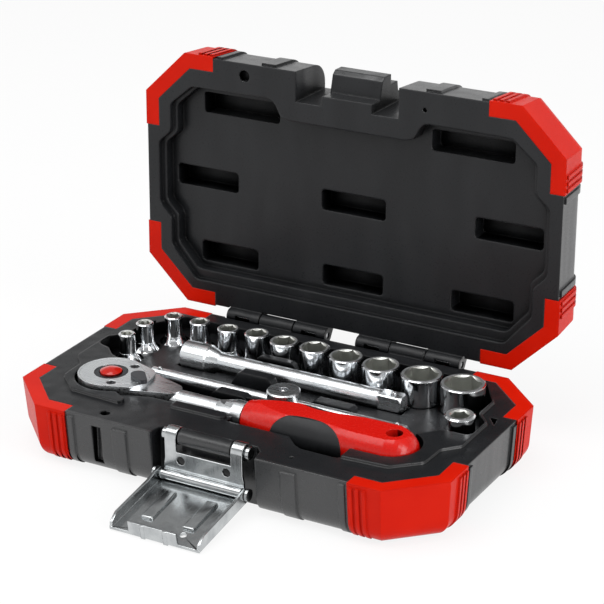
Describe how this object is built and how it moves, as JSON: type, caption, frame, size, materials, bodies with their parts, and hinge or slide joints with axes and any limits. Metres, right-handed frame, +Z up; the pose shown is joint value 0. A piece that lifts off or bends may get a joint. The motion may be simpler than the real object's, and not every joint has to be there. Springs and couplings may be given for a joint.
{
  "type": "socket wrench set in case",
  "caption": "Folding two-tone case with guarded corners and a wire-hinged over-centre latch, holding hexagon sockets, a bit adaptor, a ratchet, an extension bar and a sliding T-handle.",
  "frame": {"origin": "centre of the case's flat underside", "axes": "+X right along the case, +Y from the latch towards the hinge, +Z up; the lid stands open, the latch hangs open and each tool lies in its pocket"},
  "size_m": [0.1904, 0.1725, 0.1356],
  "materials": {
    "case_plastic": "blow-moulded polyethylene, fine grain",
    "guard_plastic": "red polyethylene, satin",
    "latch_steel": "zinc-plated stamped steel",
    "socket_chrome": "bright chrome",
    "satin_chrome": "satin chrome",
    "grip_plastic": "red hard plastic, semi-gloss",
    "grip_rubber": "black soft grip, matt",
    "button_plastic": "red, gloss",
    "lever_plastic": "dark grey, satin",
    "magnet": "dark sintered magnet",
    "inner_steel": "hardened steel"
  },
  "bodies": {
    "base": {"base_shell": "case_plastic", "base_guard_front_left": "guard_plastic", "base_guard_front_right": "guard_plastic", "base_guard_back_left": "guard_plastic", "base_guard_back_right": "guard_plastic", "hinge_pins": "latch_steel", "latch_pin": "latch_steel"},
    "lid": {"lid_shell": "case_plastic", "lid_guard_front_left": "guard_plastic", "lid_guard_front_right": "guard_plastic", "lid_guard_back_left": "guard_plastic", "lid_guard_back_right": "guard_plastic"},
    "link": {"latch_link": "latch_steel", "clasp_pin": "latch_steel"},
    "clasp": {"latch_clasp": "latch_steel"},
    "socket_4_piece": {"socket_4": "socket_chrome"},
    "socket_4_5_piece": {"socket_4_5": "socket_chrome"},
    "socket_5_piece": {"socket_5": "socket_chrome"},
    "socket_5_5_piece": {"socket_5_5": "socket_chrome"},
    "socket_6_piece": {"socket_6": "socket_chrome"},
    "socket_7_piece": {"socket_7": "socket_chrome"},
    "socket_8_piece": {"socket_8": "socket_chrome"},
    "socket_9_piece": {"socket_9": "socket_chrome"},
    "socket_10_piece": {"socket_10": "socket_chrome"},
    "socket_11_piece": {"socket_11": "socket_chrome"},
    "socket_12_piece": {"socket_12": "socket_chrome"},
    "socket_13_piece": {"socket_13": "socket_chrome"},
    "adaptor": {"bit_adaptor": "socket_chrome", "bit_magnet": "magnet"},
    "extension": {"extension_bar": "satin_chrome", "extension_ball": "inner_steel"},
    "t_handle": {"t_handle_rod": "satin_chrome", "t_handle_stop_balls": "inner_steel"},
    "t_slider": {"t_handle_slider": "satin_chrome", "t_handle_detent_balls": "inner_steel"},
    "ratchet": {"ratchet_body": "satin_chrome", "ratchet_cover": "socket_chrome", "cover_screws": "inner_steel", "ratchet_grip": "grip_plastic", "grip_inlays": "grip_rubber", "pawl_plunger": "inner_steel"},
    "anvil": {"drive_gear": "inner_steel", "drive_ball": "inner_steel", "release_spring": "inner_steel"},
    "button": {"release_button": "button_plastic"},
    "lever": {"reversing_lever": "lever_plastic", "ratchet_pawl": "inner_steel"}
  },
  "joints": [
    {"name": "lid_hinge", "type": "hinge", "parent": "base", "child": "lid", "pos_m": [0, 0.0563, 0.0247], "axis": [-1, 0, 0], "range_deg": [-92, 0]},
    {"name": "link_hinge", "type": "hinge", "parent": "base", "child": "link", "pos_m": [0, -0.0488, 0.0235], "axis": [-1, 0, 0], "range_deg": [0, 75]},
    {"name": "clasp_hinge", "type": "hinge", "parent": "link", "child": "clasp", "pos_m": [0, -0.0538, 0.0089], "axis": [1, 0, 0], "range_deg": [-98.5, 0]},
    {"name": "socket_4_lift", "type": "slide", "parent": "base", "child": "socket_4_piece", "axis": [0, 0, 1], "range_m": [0, 0.03]},
    {"name": "socket_4_5_lift", "type": "slide", "parent": "base", "child": "socket_4_5_piece", "axis": [0, 0, 1], "range_m": [0, 0.03]},
    {"name": "socket_5_lift", "type": "slide", "parent": "base", "child": "socket_5_piece", "axis": [0, 0, 1], "range_m": [0, 0.03]},
    {"name": "socket_5_5_lift", "type": "slide", "parent": "base", "child": "socket_5_5_piece", "axis": [0, 0, 1], "range_m": [0, 0.03]},
    {"name": "socket_6_lift", "type": "slide", "parent": "base", "child": "socket_6_piece", "axis": [0, 0, 1], "range_m": [0, 0.03]},
    {"name": "socket_7_lift", "type": "slide", "parent": "base", "child": "socket_7_piece", "axis": [0, 0, 1], "range_m": [0, 0.03]},
    {"name": "socket_8_lift", "type": "slide", "parent": "base", "child": "socket_8_piece", "axis": [0, 0, 1], "range_m": [0, 0.03]},
    {"name": "socket_9_lift", "type": "slide", "parent": "base", "child": "socket_9_piece", "axis": [0, 0, 1], "range_m": [0, 0.03]},
    {"name": "socket_10_lift", "type": "slide", "parent": "base", "child": "socket_10_piece", "axis": [0, 0, 1], "range_m": [0, 0.03]},
    {"name": "socket_11_lift", "type": "slide", "parent": "base", "child": "socket_11_piece", "axis": [0, 0, 1], "range_m": [0, 0.03]},
    {"name": "socket_12_lift", "type": "slide", "parent": "base", "child": "socket_12_piece", "axis": [0, 0, 1], "range_m": [0, 0.03]},
    {"name": "socket_13_lift", "type": "slide", "parent": "base", "child": "socket_13_piece", "axis": [0, 0, 1], "range_m": [0, 0.03]},
    {"name": "adaptor_lift", "type": "slide", "parent": "base", "child": "adaptor", "axis": [0, 0, 1], "range_m": [0, 0.03]},
    {"name": "extension_lift", "type": "slide", "parent": "base", "child": "extension", "axis": [0, 0, 1], "range_m": [0, 0.03]},
    {"name": "t_handle_lift", "type": "slide", "parent": "base", "child": "t_handle", "axis": [0, 0, 1], "range_m": [0, 0.03]},
    {"name": "t_slider_slide", "type": "slide", "parent": "t_handle", "child": "t_slider", "axis": [1, 0, 0], "range_m": [-0.048, 0.041]},
    {"name": "ratchet_lift", "type": "slide", "parent": "base", "child": "ratchet", "axis": [0, 0, 1], "range_m": [0, 0.035]},
    {"name": "anvil_turn", "type": "hinge", "parent": "ratchet", "child": "anvil", "pos_m": [-0.0629, -0.0198, 0.0213], "axis": [0, 0, 1], "continuous": true},
    {"name": "button_press", "type": "slide", "parent": "anvil", "child": "button", "axis": [0, 0, -1], "range_m": [0, 0.0012], "stiffness_N_per_m": 300, "springref_m": -0.0005},
    {"name": "lever_turn", "type": "hinge", "parent": "ratchet", "child": "lever", "pos_m": [-0.0501, -0.0198, 0.0273], "axis": [0, 0, 1], "range_deg": [0, 70]}
  ]
}
